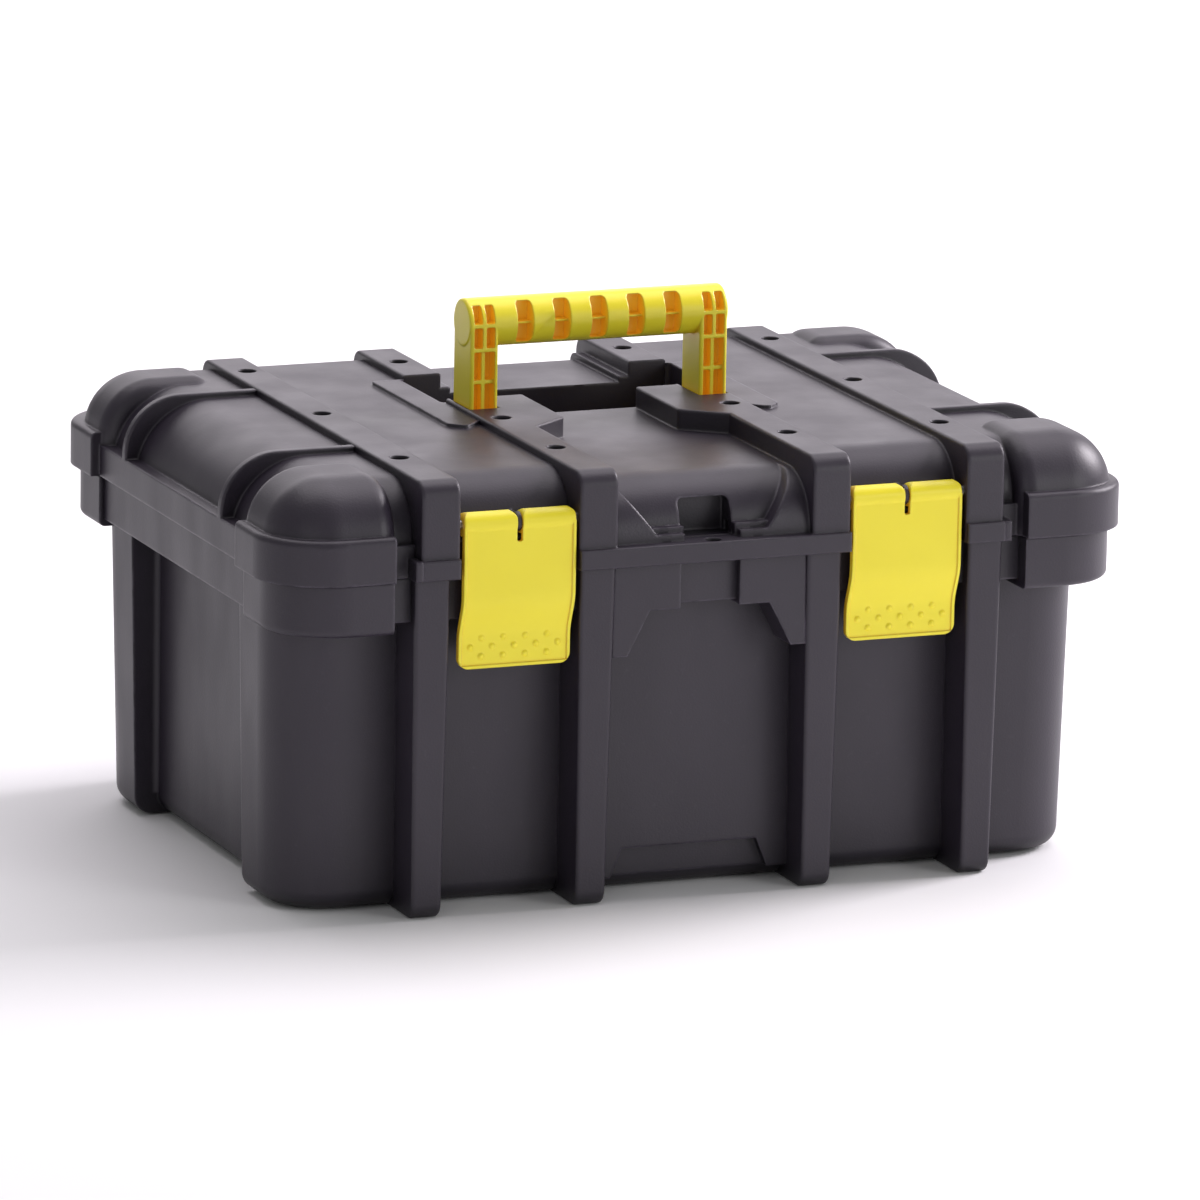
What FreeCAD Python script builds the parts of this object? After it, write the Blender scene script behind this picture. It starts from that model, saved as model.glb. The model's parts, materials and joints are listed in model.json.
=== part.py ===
"""Ribbed plastic toolbox with a hinged lid, a fold-down bail handle, two latches and a lift-out tray.

Millimetres. +Z is up and the floor is Z = 0. +X runs along the box to the right of someone facing
the latches, which are on the -Y side. The pieces are drawn with Y = 0 midway between the bumpers and
saved with the origin on the floor under the middle of the whole object, hinge knuckles included.
"""

import FreeCAD, Part
import math
import os

V = FreeCAD.Vector

# ---------------------------------------------------------------- whole box
box_length = 432.0        # over the corner bumpers of the lid
box_depth = 320.0         # over the corner bumpers, front to back
crest_height = 208.5      # top of the lid's ribs
split_height = 162.2      # where lid and base meet
wall = 3.0                # moulded wall of the base and the lid
split_gap = 0.3           # air between the lid's lower edge and the base's rim

# ---------------------------------------------------------------- base
tub_step_end = 11.5       # from the bumper plane in to the tub's wall, at the ends
tub_step_face = 29.3      # the same at the front and the back
tub_draft = 3.0           # how far the tub's wall leans in over its height
tub_corner = 30.0
tub_floor_height = 1.0    # underside of the tub above the floor
tub_bottom_round = 9.0
end_panel_inset = 84.0    # from the bumper planes in to the sunken panel on each end
end_panel_sink = 14.5
end_panel_round = 3.0
rim_step_end = 7.0        # from the bumper plane in to the base's rim
rim_step_face = 11.3
rim_height = 21.0
rim_corner = 26.0
tongue_height = 5.0       # upstand of the rim inside the lid
tongue_wall = 1.8
tongue_clearance = 1.2
base_bumper_step_end = 4.4
base_bumper_step_face = 2.1
bumper_height = 24.6      # base bumper, down from the split
bumper_end_inset = 58.0   # the bumpers reach this far along the ends from the faces
bumper_face_inset = 58.0  # the bumpers reach this far along the front from the end
bumper_corner = 33.5
bumper_edge = 3.0

# ---------------------------------------------------------------- ribs and legs
inner_rib_x = 58.2
outer_rib_x = 136.0
rib_width = 19.0
rib_front_step = 1.0      # from the bumper plane in to the rib's face
rib_round = 8.0
rib_edge = 1.2
band_height = 9.4
band_proud = 2.5          # the bands stand this far in front of the ribs
band_outer_x = (126.8, 149.0)
inner_leg_x = 56.8
outer_leg_x = 138.3
leg_top_width = 17.6
leg_foot_width = 14.6
leg_top_step = 5.0        # from the bumper plane in to the leg's face at the split
leg_foot_step = 8.0
leg_foot_round = 7.0
leg_edge = 1.6
leg_root = 12.0           # how far the legs reach in under the tub
rib_hole_radius = 4.6
rib_hole_depth = 6.0
rib_hole_pitch = 104.0    # front and back rows, either side of the handle's pivot line
inner_hole_y = -34.0      # middle holes of the inner ribs, in front of the handle
small_edge = 0.8          # rounding of bands, fins and bosses

# ---------------------------------------------------------------- lid
panel_drop = 3.5          # main top panels below the crest
centre_drop = 10.0        # middle panel, between the inner ribs, below the crest
skirt_step_end = 4.5
skirt_step_face = 9.4
skirt_height = 15.5
dome_step_end = 10.0
dome_step_face = 13.5
dome_face_round = 26.0
lid_back_step = 21.0      # from the rear bumper plane in to the lid's rear wall
lid_back_round = 10.0
rib_back_step = 17.0
dome_end_round = 36.0
lid_bumper_height = 21.6
corner_dome_step = 4.5    # the corner domes stand this far inside the bumpers
corner_dome_back_step = 10.5   # the rear domes stand further in
corner_dome_round = 29.0
corner_dome_side_round = 9.0
corner_dome_drop = 0.4
corner_dome_reach_x = 3.0      # the domes run on past the bumpers' ends, towards the middle
corner_dome_reach_y = 5.0
fin_inset = 92.5          # from the bumper planes in to the middle of each fin
fin_width = 5.0
fin_drop = 0.8
fin_round = 28.0

# ---------------------------------------------------------------- middle of the front
gusset_low_x = 27.5       # the gussets' sloping edge, at its lower end
gusset_notch_x = 14.0
gusset_low_z = 13.0       # above the split
gusset_high_z = 41.0
gusset_step = 5.0
niche_half = 12.9
niche_height = 26.9
niche_back_step = 26.0
niche_round = 3.0
slit_reach = 7.0          # small slit beside the niche's floor
slit_size = 5.0
slit_back = 8.0
padlock_hole_radius = 4.0
padlock_hole_step = 3.5   # from the ribs' face in to the middle of the hole
yoke_foot_x = 41.0        # outline of the yoke plate below the rim
yoke_knee_x = 30.0
yoke_slot_x = 14.8
yoke_foot_drop = 43.7     # below the split
yoke_knee_drop = 22.7
yoke_step = 6.6
plinth_proud = 2.6        # the middle panel of the front wall stands proud of its neighbours
plinth_lift = 7.5
plinth_recess = (34.0, 40.0, 21.5)   # half width at its top, at its foot, and its top's height
plinth_recess_depth = 8.0

# ---------------------------------------------------------------- handle
handle_y = 1.0            # the bail's pivot line, behind the middle of the box
leg_x = 58.5              # middle of each leg of the bail
bail_leg_width = 14.0
bail_leg_depth = 23.4
bail_reach = 54.0         # pivot to the middle of the grip
grip_radius = 11.7
grip_overhang = 0.4
pivot_drop = 14.5         # pivot below the crest
handle_pin_radius = 3.0
handle_pin_reach = 6.0    # past each side of the bail's leg
running_gap = 0.06        # radial clearance of every pin in the piece that turns on it
bail_side_gap = 0.6
bail_clearance = 1.0
bail_edge = 1.5
recess_half = 70.0
recess_round = 3.0
recess_seam = 3.6         # the lid is parted into nodes this far inside the recess's walls
recess_front_y = 14.5     # measured from the pivot line, as are the sizes below
recess_back_y = 72.0
boss_half = 29.0          # inner edge of the bosses beside the bail
boss_front_y = -40.0
boss_slope = 16.0
strip_width = 16.5        # low strips beside the handle's recess
strip_front_y = -38.0
strip_drop = 1.8
strip_chamfer = 7.0
strip_nose = 17.0
rail_width = 5.0          # low rails inside the rear ends of the inner ribs
rail_rise = 3.0
rail_round = 6.0
rail_end_gap = 1.5        # from the rails' ends to the lid's rear wall
pocket_count = 5
pocket_pitch = 18.85
pocket_width = 8.2
pocket_depth = 10.0
pocket_round = 1.8
pocket_web = 0.9
pocket_web_inset = 4.0    # the pockets' middle webs lie this far below their mouths
pocket_top = 10.2         # above the grip's middle
pocket_low = 9.3          # below it
core_wall = 1.7
core_depth = 7.5
core_round = 0.9
core_foot = 9.0           # from the pin up to the lowest cell
core_roof = 2.5           # from the topmost cell to the grip's top
core_web_inset = 2.0      # the shanks' webs lie this far below their face
leg_web_pitch = 13.2

# ---------------------------------------------------------------- latches
latch_x = 96.8
latch_width = 55.0
latch_top = 192.0
latch_bottom = 117.8
latch_plate = 2.5
latch_curl_radius = 5.6
latch_pin_radius = 2.2
latch_pin_reach = 5.0     # into the rib on each side
latch_notch = 2.8
latch_notch_depth = 14.2
latch_web_gap = 0.4
latch_proud = 0.6         # the latch stands this far inside the rib's face
latch_catch_gap = 0.5
latch_bend_top = 8.5      # the double bend starts this far above the rim's lower edge
latch_bend_low = 7.0      # and ends this far below it
latch_bend_round = 22.0
latch_corner = 5.0
latch_top_corner = 3.5
latch_bead = 0.7          # height of the bead round the latch's face
latch_bead_width = 1.5
stud_radius = 1.9
stud_height = 0.9
stud_pitch = 10.8
stud_row = 4.4
stud_first = 5.6          # the lowest row above the latch's foot
stud_counts = (4, 5, 4)

# ---------------------------------------------------------------- hinges
hinge_pin_radius = 2.5
knuckle_radius = 6.0
knuckle_width = 13.0
knuckle_gap = 0.5
knuckle_end_gap = 3.0     # from the outer knuckles to the ends of their bay
knuckle_arm = 9.0         # the base's arms start this far below the knuckles
lid_arm_rise = 6.0        # the lid's arms climb this far above them
hinge_back = 2.5          # hinge axis behind the bumper plane
hinge_rise = 2.3          # hinge axis above the split

# ---------------------------------------------------------------- tray
tray_wall = 2.2
tray_depth = 44.0
tray_side_gap = 2.0
tray_flange = 5.0
tray_flange_side = 6.0    # the flange is this wide along the long sides
tray_foot_round = 4.0
tray_flange_height = 2.4
tray_ledge_gap = 0.3
tray_corner = 22.0
tray_cell_round = 2.0     # round between a bay's floor and its walls
tray_rail_y = 34.0        # the long walls either side of the tray's middle bay
divider_wall = 2.0
divider_slot_gap = 0.35
divider_slot_depth = 2.4
divider_x = 62.0
guide_width = 1.5
guide_drop = 4.0          # the guides stop this far below the tray's top
grip_half = 55.0
grip_post = 9.0
grip_height = 24.0
grip_bar = 10.0
grip_edge = 4.0
grip_foot_gap = 0.3


touch = 0.05              # how near an edge must lie to a plane to be picked for rounding


# ================================================================ shapes
def block(low, high):
    """Box between two opposite corners."""
    return Part.makeBox(high[0] - low[0], high[1] - low[1], high[2] - low[2], V(*low))


def both_ways(value):
    return (-value, value)


def corner_edges(points, radii, place):
    """Closed chain of edges through 2-D corner points, each corner rounded by its own radius."""
    corners = []
    for index, (u, v) in enumerate(points):
        before = points[index - 1]
        after = points[(index + 1) % len(points)]
        radius = radii[index] if isinstance(radii, (list, tuple)) else radii
        if radius <= 0:
            corners.append([(u, v)])
            continue
        to_before = unit(before[0] - u, before[1] - v)
        to_after = unit(after[0] - u, after[1] - v)
        half = math.acos(max(-1.0, min(1.0, dot(to_before, to_after)))) / 2
        run = radius / math.tan(half)
        inward = unit(to_before[0] + to_after[0], to_before[1] + to_after[1])
        depth = radius / math.sin(half) - radius
        start = (u + to_before[0] * run, v + to_before[1] * run)
        middle = (u + inward[0] * depth, v + inward[1] * depth)
        end = (u + to_after[0] * run, v + to_after[1] * run)
        corners.append([start, middle, end])
    edges = []
    for index, corner in enumerate(corners):
        if len(corner) == 3:
            edges.append(Part.Arc(place(*corner[0]), place(*corner[1]), place(*corner[2])).toShape())
        here = place(*corner[-1])
        there = place(*corners[(index + 1) % len(corners)][0])
        if here.distanceToPoint(there) > 1e-6:
            edges.append(Part.LineSegment(here, there).toShape())
    return edges


def unit(u, v):
    size = math.hypot(u, v)
    return (u / size, v / size)


def dot(a, b):
    return a[0] * b[0] + a[1] * b[1]


def plate_yz(points, x_low, x_high, radii=0.0):
    """Outline in Y and Z, given thickness along X."""
    wire = Part.Wire(corner_edges(points, radii, lambda y, z: V(x_low, y, z)))
    return Part.Face(wire).extrude(V(x_high - x_low, 0, 0))


def plate_xz(points, y_low, y_high, radii=0.0):
    """Outline in X and Z, given thickness along Y."""
    wire = Part.Wire(corner_edges(points, radii, lambda x, z: V(x, y_low, z)))
    return Part.Face(wire).extrude(V(0, y_high - y_low, 0))


def plan_wire(half_x, half_y, z, radius):
    points = [(-half_x, -half_y), (half_x, -half_y), (half_x, half_y), (-half_x, half_y)]
    return Part.Wire(corner_edges(points, radius, lambda x, y: V(x, y, z)))


def slab(half_x, half_y, z_low, z_high, radius):
    """Upright block centred on the Z axis, with rounded corners in plan."""
    return Part.Face(plan_wire(half_x, half_y, z_low, radius)).extrude(V(0, 0, z_high - z_low))


def drafted(low, high, radius):
    """Tapered slab between two plan rectangles, each (half_x, half_y, z)."""
    return Part.makeLoft([plan_wire(*low, radius), plan_wire(*high, radius)], True, True)


def rod_x(x_low, x_high, y, z, radius):
    return Part.makeCylinder(radius, x_high - x_low, V(x_low, y, z), V(1, 0, 0))


def rod_z(x, y, z_low, z_high, radius):
    return Part.makeCylinder(radius, z_high - z_low, V(x, y, z_low), V(0, 0, 1))


def fused(shapes):
    first, rest = shapes[0], shapes[1:]
    return first.multiFuse(rest).removeSplitter()


def rounded(shape, radius, chosen):
    """Rounds the edges that the test picks."""
    return shape.makeFillet(radius, [edge for edge in shape.Edges if chosen(edge)])


def upright(edge):
    box = edge.BoundBox
    return box.ZLength > 5 * max(box.XLength, box.YLength, 0.01)


def at_z(z):
    return lambda edge: abs(edge.BoundBox.ZMin - z) < 0.01 and abs(edge.BoundBox.ZMax - z) < 0.01


def mirror_x(shape):
    return shape.mirror(V(0, 0, 0), V(1, 0, 0))


def mirror_y(shape):
    return shape.mirror(V(0, 0, 0), V(0, 1, 0))


def both_ends(shape):
    return [shape, mirror_x(shape)]


def four_corners(shape):
    return both_ends(shape) + both_ends(mirror_y(shape))


def around(name, front_right, back_right):
    """Four pieces named by their place, from the two on the right."""
    return {
        name + "_front_right": front_right,
        name + "_front_left": mirror_x(front_right),
        name + "_back_right": back_right,
        name + "_back_left": mirror_x(back_right),
    }


def along_x(whole, name, inner_x, outer_x):
    """A moulding by name, parted into five at two planes on each side."""
    spans = {
        "_end_left": (-half_length - 1, -outer_x),
        "_bay_left": (-outer_x, -inner_x),
        "_centre": (-inner_x, inner_x),
        "_bay_right": (inner_x, outer_x),
        "_end_right": (outer_x, half_length + 1),
    }
    reach = hinge_y + 2 * knuckle_radius
    pieces = {}
    for place, (x_low, x_high) in spans.items():
        pieces[name + place] = whole.common(block((x_low, -reach, 0), (x_high, reach, crest_height + 1)))
    return pieces


def save(shape, node):
    shape.translate(V(0, -whole_middle_y, 0))
    shape.exportStep(os.path.join("parts", node + ".step"))


# ================================================================ shared planes
half_length = box_length / 2
half_depth = box_depth / 2
tub_half_x = half_length - tub_step_end
tub_half_y = half_depth - tub_step_face
rim_half_x = half_length - rim_step_end
rim_half_y = half_depth - rim_step_face
rim_low = split_height - rim_height
skirt_half_x = half_length - skirt_step_end
skirt_half_y = half_depth - skirt_step_face
lid_low = split_height + split_gap
skirt_top = split_height + skirt_height
panel_top = crest_height - panel_drop
centre_top = crest_height - centre_drop
rib_face_y = -(half_depth - rib_front_step)
bumper_face_x = half_length - bumper_face_inset
bumper_end_half = half_depth - bumper_end_inset
end_panel_half = half_depth - end_panel_inset
fin_y = half_depth - fin_inset
inner_rib_inner = inner_rib_x - rib_width / 2
inner_rib_outer = inner_rib_x + rib_width / 2
outer_rib_inner = outer_rib_x - rib_width / 2
pivot_z = crest_height - pivot_drop
recess_floor = pivot_z - grip_radius - bail_clearance
hinge_y = half_depth + hinge_back
hinge_z = split_height + hinge_rise
whole_middle_y = (rib_face_y - band_proud + hinge_y + knuckle_radius) / 2
latch_pivot_y = rib_face_y + latch_proud + latch_curl_radius
latch_pivot_z = latch_top - latch_curl_radius
latch_notch_low = latch_top - latch_notch_depth
ledge_z = rim_low + wall
bay_low_x = inner_rib_outer
bay_high_x = outer_rib_inner
tongue_half_x = skirt_half_x - wall - tongue_clearance
tongue_half_y = skirt_half_y - wall - tongue_clearance


# ================================================================ base
def tub_body():
    low = (tub_half_x - tub_draft, tub_half_y - tub_draft, tub_floor_height)
    high = (tub_half_x, tub_half_y, split_height)
    body = drafted(low, high, tub_corner)
    return rounded(body, tub_bottom_round, at_z(tub_floor_height))


def end_panel_cuts(inset, z_top):
    """The sunken panels at both ends; inset shifts their faces inwards for the tub's inside."""
    sunk_x = tub_half_x - end_panel_sink - inset
    half = end_panel_half + inset
    cut = block((sunk_x, -half, -1), (half_length + 1, half, z_top))
    cut = rounded(cut, end_panel_round, lambda e: upright(e) and e.BoundBox.XMax < sunk_x + 1)
    foot_round = tub_bottom_round + 1.0 - inset
    foot_z = tub_floor_height + inset
    low_corner = (sunk_x - foot_round, -half, -1)
    low = block(low_corner, (sunk_x + end_panel_round, half, foot_z + foot_round))
    axis = V(sunk_x - foot_round, -half - 1, foot_z + foot_round)
    cut = cut.fuse(low.cut(Part.makeCylinder(foot_round, 2 * half + 2, axis, V(0, 1, 0))))
    return [cut, mirror_x(cut)]


def tub_cavity():
    low = (tub_half_x - tub_draft - wall, tub_half_y - tub_draft - wall, tub_floor_height + wall)
    high = (tub_half_x - wall, tub_half_y - wall, split_height)
    cavity = drafted(low, high, tub_corner - wall)
    cavity = rounded(cavity, tub_bottom_round - wall, at_z(tub_floor_height + wall))
    for cut in end_panel_cuts(wall, split_height + 1):
        cavity = cavity.cut(cut)
    upper = slab(rim_half_x - wall, rim_half_y - wall, ledge_z, split_height + 1, rim_corner - wall)
    return cavity.fuse(upper)


def bumper(step_end, step_face, z_low, z_high, rounded_z):
    """One corner wrap, at +X and -Y."""
    half_x = half_length - step_end
    half_y = half_depth - step_face
    body = slab(half_x, half_y, z_low, z_high, bumper_corner)
    body = rounded(body, bumper_edge, at_z(rounded_z))
    corner = block((bumper_face_x, -half_depth - 1, z_low), (half_length + 1, -bumper_end_half, z_high))
    return body.common(corner)


def leg(x):
    """Upright rib of the base's front, narrowing to a rounded foot."""
    back_y = -tub_half_y + leg_root
    face_y = -half_depth + leg_foot_step + touch

    def outline(z, width, front_y):
        left = x - width / 2
        right = x + width / 2
        corners = [V(left, front_y, z), V(right, front_y, z), V(right, back_y, z), V(left, back_y, z)]
        return Part.makePolygon(corners + corners[:1])

    def foot_edge(e):
        return at_z(0)(e) and e.BoundBox.YMax < face_y

    def side_edge(e):
        return e.BoundBox.YMax < face_y + leg_foot_round and e.BoundBox.ZLength > 1

    foot = outline(0, leg_foot_width, -half_depth + leg_foot_step)
    top = outline(split_height, leg_top_width, -half_depth + leg_top_step)
    body = Part.makeLoft([foot, top], True, True)
    return rounded(rounded(body, leg_foot_round, foot_edge), leg_edge, side_edge)


def yoke_plate():
    """Right half of the arch below the rim, between the two inner legs; a shackle hangs in its middle."""
    outer = inner_leg_x
    foot_z = split_height - yoke_foot_drop
    knee_z = split_height - yoke_knee_drop
    face_y = -half_depth + yoke_step
    points = [(outer, split_height), (outer, foot_z), (yoke_foot_x, foot_z), (yoke_knee_x, knee_z)]
    points += [(yoke_slot_x, knee_z), (yoke_slot_x, split_height)]
    return plate_xz(points, face_y, -tub_half_y + wall, 0)


def plinth():
    """Middle panel of the front wall, with a shallow recess at its foot."""
    half = inner_leg_x
    face_y = -tub_half_y - plinth_proud
    back_y = -tub_half_y + tub_draft + wall / 2
    panel = block((-half, face_y, plinth_lift), (half, back_y, rim_low + wall))
    top_half, foot_half, recess_z = plinth_recess
    foot_z = plinth_lift - 1
    points = [(-foot_half, foot_z), (foot_half, foot_z), (top_half, recess_z), (-top_half, recess_z)]
    recess = plate_xz(points, face_y - 1, face_y + plinth_recess_depth - tub_draft, 0)
    return panel.cut(recess)


def base_knuckles():
    """The two outer knuckles of each rear hinge, on arms from the rim."""
    width = bay_high_x - bay_low_x
    middle = (bay_high_x + bay_low_x) / 2
    knuckles = []
    for side in both_ways(1):
        inner = middle + side * (knuckle_width / 2 + knuckle_gap)
        outer = middle + side * (width / 2 - knuckle_end_gap)
        x_low, x_high = sorted((inner, outer))
        ear = rod_x(x_low, x_high, hinge_y, hinge_z, knuckle_radius)
        arm_low = hinge_z - knuckle_radius - knuckle_arm
        points = [(rim_half_y - wall, arm_low), (rim_half_y + 1, arm_low)]
        points += [(hinge_y + 0.8 * knuckle_radius, hinge_z - 0.6 * knuckle_radius), (hinge_y, hinge_z)]
        points += [(hinge_y - knuckle_radius, split_height), (rim_half_y - wall, split_height)]
        arm = plate_yz(points, x_low, x_high)
        bore = rod_x(x_low - 1, x_high + 1, hinge_y, hinge_z, hinge_pin_radius)
        knuckles.append(ear.fuse(arm).cut(bore))
    return knuckles + [mirror_x(one) for one in knuckles]


def tongue_ring():
    """Upstand of the rim inside the lid's skirt."""
    top = split_height + tongue_height
    outer = slab(tongue_half_x, tongue_half_y, ledge_z + wall, top, rim_corner - wall)
    hollow_x = tongue_half_x - tongue_wall
    hollow_y = tongue_half_y - tongue_wall
    return outer.cut(slab(hollow_x, hollow_y, ledge_z, top + 1, rim_corner - wall - tongue_wall))


def base_pieces():
    """The base by name: the tub parted behind its legs, and what stands out from its walls."""
    outer = tub_body()
    for cut in end_panel_cuts(0, rim_low):
        outer = outer.cut(cut)
    core = fused([outer, slab(rim_half_x, rim_half_y, rim_low, split_height, rim_corner), plinth()])
    tub = fused([core.cut(tub_cavity()), tongue_ring()] + base_knuckles())
    pieces = along_x(tub, "base", inner_leg_x, outer_leg_x)
    for place, x in (("outer", outer_leg_x), ("inner", inner_leg_x)):
        one = leg(x).cut(core)
        pieces.update(around("leg_" + place, one, mirror_y(leg(x)).cut(tub).cut(core)))
    low = split_height - bumper_height
    corner = bumper(base_bumper_step_end, base_bumper_step_face, low, split_height, low).cut(core)
    pieces.update(around("base_corner", corner, mirror_y(corner)))
    yoke = yoke_plate().cut(core).cut(pieces["leg_inner_front_right"])
    pieces["padlock_yoke_right"] = yoke
    pieces["padlock_yoke_left"] = mirror_x(yoke)
    return pieces


# ================================================================ lid
def vault(half_x, y_limits, z_low, z_top, rounds):
    """Block whose top edges are bullnosed; rounds are the end, front and back radii."""
    front, back = y_limits
    end_round, front_round, back_round = rounds
    across = plate_yz([(front, z_low), (back, z_low), (back, z_top), (front, z_top)],
                      -half_x, half_x, [0, 0, back_round, front_round])
    along = plate_xz([(-half_x, z_low), (half_x, z_low), (half_x, z_top), (-half_x, z_top)],
                     front, back, [0, 0, end_round, end_round])
    return across.common(along)


def lid_vault(inset, z_low):
    """The lid's top as main panels with a lower middle panel; inset gives the inside face."""
    half_x = half_length - dome_step_end - inset
    y_limits = (-half_depth + dome_step_face + inset, half_depth - lid_back_step - inset)
    rounds = [one - inset for one in (dome_end_round, dome_face_round, lid_back_round)]
    whole = vault(half_x, y_limits, z_low, panel_top - inset, rounds)
    lower = vault(half_x, y_limits, z_low, centre_top - inset, rounds)
    bay = inner_rib_x - inset
    middle = block((-bay, -half_depth, z_low - 1), (bay, half_depth, crest_height))
    return whole.cut(middle).fuse(lower.common(middle))


def corner_dome(step_face):
    """Rounded cap over the bumper, at +X and -Y."""
    outer_x = half_length - corner_dome_step
    outer_y = -(half_depth - step_face)
    inner_x = bumper_face_x - corner_dome_reach_x
    inner_y = -bumper_end_half + corner_dome_reach_y
    top = crest_height - corner_dome_drop
    reach_x = outer_x - corner_dome_round - touch
    reach_y = outer_y + corner_dome_round + touch

    def outer_corner(e):
        return upright(e) and e.BoundBox.XMin > outer_x - touch and e.BoundBox.YMax < outer_y + touch

    def shoulder(e):
        return at_z(top)(e) and (e.BoundBox.XMin > reach_x or e.BoundBox.YMax < reach_y)

    def inner_side(e):
        inner = e.BoundBox.XMax < inner_x + touch or e.BoundBox.YMin > inner_y - touch
        return e.BoundBox.ZMax > top - touch and inner

    cap = block((inner_x, outer_y, lid_low), (outer_x, inner_y, top))
    cap = rounded(cap, corner_dome_round, outer_corner)
    cap = rounded(cap, corner_dome_round - 1.0, shoulder)
    return rounded(cap, corner_dome_side_round, inner_side)


def lid_rib(x):
    back_y = half_depth - rib_back_step
    low = [(rib_face_y, lid_low), (back_y, lid_low)]
    points = low + [(back_y, crest_height), (rib_face_y, crest_height)]
    rib = plate_yz(points, x - rib_width / 2, x + rib_width / 2, [0, 0, rib_round, rib_round])
    return rounded(rib, rib_edge, lambda e: e.BoundBox.ZMax > lid_low + 1 and e.BoundBox.XLength < touch)


def rib_bands():
    """Raised bands at the foot of the front ribs; the middle one bridges the two inner ribs."""
    face_y = rib_face_y - band_proud
    top = lid_low + band_height
    spans = [(-inner_rib_outer, inner_rib_outer), band_outer_x, (-band_outer_x[1], -band_outer_x[0])]
    bands = []
    for x_low, x_high in spans:
        band = block((x_low, face_y, lid_low), (x_high, -skirt_half_y + wall, top))
        bands.append(rounded(band, small_edge, lambda e: e.BoundBox.YMax < face_y + touch))
    return bands


def fin(y):
    """Thin upright blade that climbs the end and runs in to the outer rib."""
    top = crest_height - fin_drop
    points = [(outer_rib_x, lid_low), (skirt_half_x, lid_low), (skirt_half_x, top), (outer_rib_x, top)]
    blade = plate_xz(points, y - fin_width / 2, y + fin_width / 2, [0, 0, fin_round, 0])
    blade = rounded(blade, small_edge, lambda e: e.BoundBox.YLength < touch and e.BoundBox.ZMax > skirt_top)
    return [blade, mirror_x(blade)]


def gusset():
    """Web beside the padlock niche, from the inner rib down to the band."""
    face_y = -half_depth + gusset_step
    low = split_height + gusset_low_z
    points = [(inner_rib_x, lid_low), (inner_rib_x, split_height + gusset_high_z)]
    points += [(inner_rib_inner, split_height + gusset_high_z), (gusset_low_x, low), (gusset_notch_x, low)]
    points += [(gusset_notch_x, lid_low)]
    web = plate_xz(points, face_y, -half_depth + dome_step_face + dome_face_round, 0)
    return [web, mirror_x(web)]


def gusset_limit():
    """Space that the gussets may fill: nothing above the middle panel's own curve plus a step."""
    y_limits = (-half_depth + gusset_step, half_depth - lid_back_step)
    return vault(inner_rib_outer, y_limits, lid_low, centre_top, (0, dome_face_round, lid_back_round))


def bosses():
    """The inner ribs widen beside the bail's legs."""
    front_y = handle_y + recess_front_y
    boss_y = handle_y + boss_front_y
    points = [(inner_rib_x, front_y), (boss_half, front_y), (boss_half, boss_y)]
    points += [(inner_rib_inner, boss_y - boss_slope), (inner_rib_x, boss_y - boss_slope)]
    wire = Part.Wire(corner_edges(points, [0, 1.5, 2.5, 2.5, 0], lambda x, y: V(x, y, recess_floor)))
    pad = Part.Face(wire).extrude(V(0, 0, crest_height - recess_floor))
    pad = rounded(pad, small_edge, at_z(crest_height))
    return [pad, mirror_x(pad)]


def handle_strips():
    """Low strips outside the inner ribs, beside the handle's recess."""
    low_x = inner_rib_x
    high_x = inner_rib_outer + strip_width
    back_y = handle_y + recess_back_y
    front_y = handle_y + strip_front_y
    root_z = panel_top - wall
    points = [(low_x, back_y), (high_x, back_y), (high_x, front_y + strip_chamfer)]
    points += [(high_x - strip_chamfer, front_y), (low_x, front_y + strip_nose)]
    wire = Part.Wire(corner_edges(points, [0, 2.0, 4.0, 3.0, 0], lambda x, y: V(x, y, root_z)))
    strip = Part.Face(wire).extrude(V(0, 0, crest_height - strip_drop - root_z))
    return [strip, mirror_x(strip)]


def rear_rails():
    """Low rails on the middle panel, along the inner ribs behind the recess."""
    front_y = handle_y + recess_back_y
    back_y = half_depth - lid_back_step - rail_end_gap
    top = centre_top + rail_rise
    root_z = centre_top - wall
    points = [(front_y, root_z), (back_y, root_z), (back_y, top), (front_y, top)]
    rail = plate_yz(points, inner_rib_inner - rail_width, inner_rib_inner + wall, [0, 0, rail_round, 1.0])
    return [rail, mirror_x(rail)]


def recess_cut():
    front_y = handle_y + recess_front_y
    back_y = handle_y + recess_back_y
    cut = block((-recess_half, front_y, recess_floor), (recess_half, back_y, crest_height + 1))
    return rounded(cut, recess_round, lambda e: upright(e) or at_z(recess_floor)(e))


def bail_slots():
    """Slots for the bail's legs, open to the recess behind them."""
    half = bail_leg_width / 2 + bail_side_gap
    cuts = []
    for x in both_ways(leg_x):
        front = handle_y - bail_leg_depth / 2 - bail_clearance
        back = handle_y + recess_front_y + recess_round + 1
        low = pivot_z - bail_leg_depth / 2 - bail_clearance
        cuts.append(block((x - half, front, low), (x + half, back, crest_height + 1)))
    return cuts


def under_recess():
    """Solid round the recess and the slots, so that the lid's wall goes on beneath them."""
    side = recess_half + wall
    front_y = handle_y + recess_front_y
    back_y = handle_y + recess_back_y
    main = block((-side, front_y - wall, recess_floor - wall), (side, back_y + wall, crest_height))
    half = bail_leg_width / 2 + bail_side_gap + wall + handle_pin_reach - 1.0
    pads = []
    for x in both_ways(leg_x):
        front = handle_y - bail_leg_depth / 2 - bail_clearance - wall
        low = pivot_z - bail_leg_depth / 2 - bail_clearance - wall
        pads.append(block((x - half, front, low), (x + half, front_y, crest_height)))
    return [main] + pads


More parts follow.
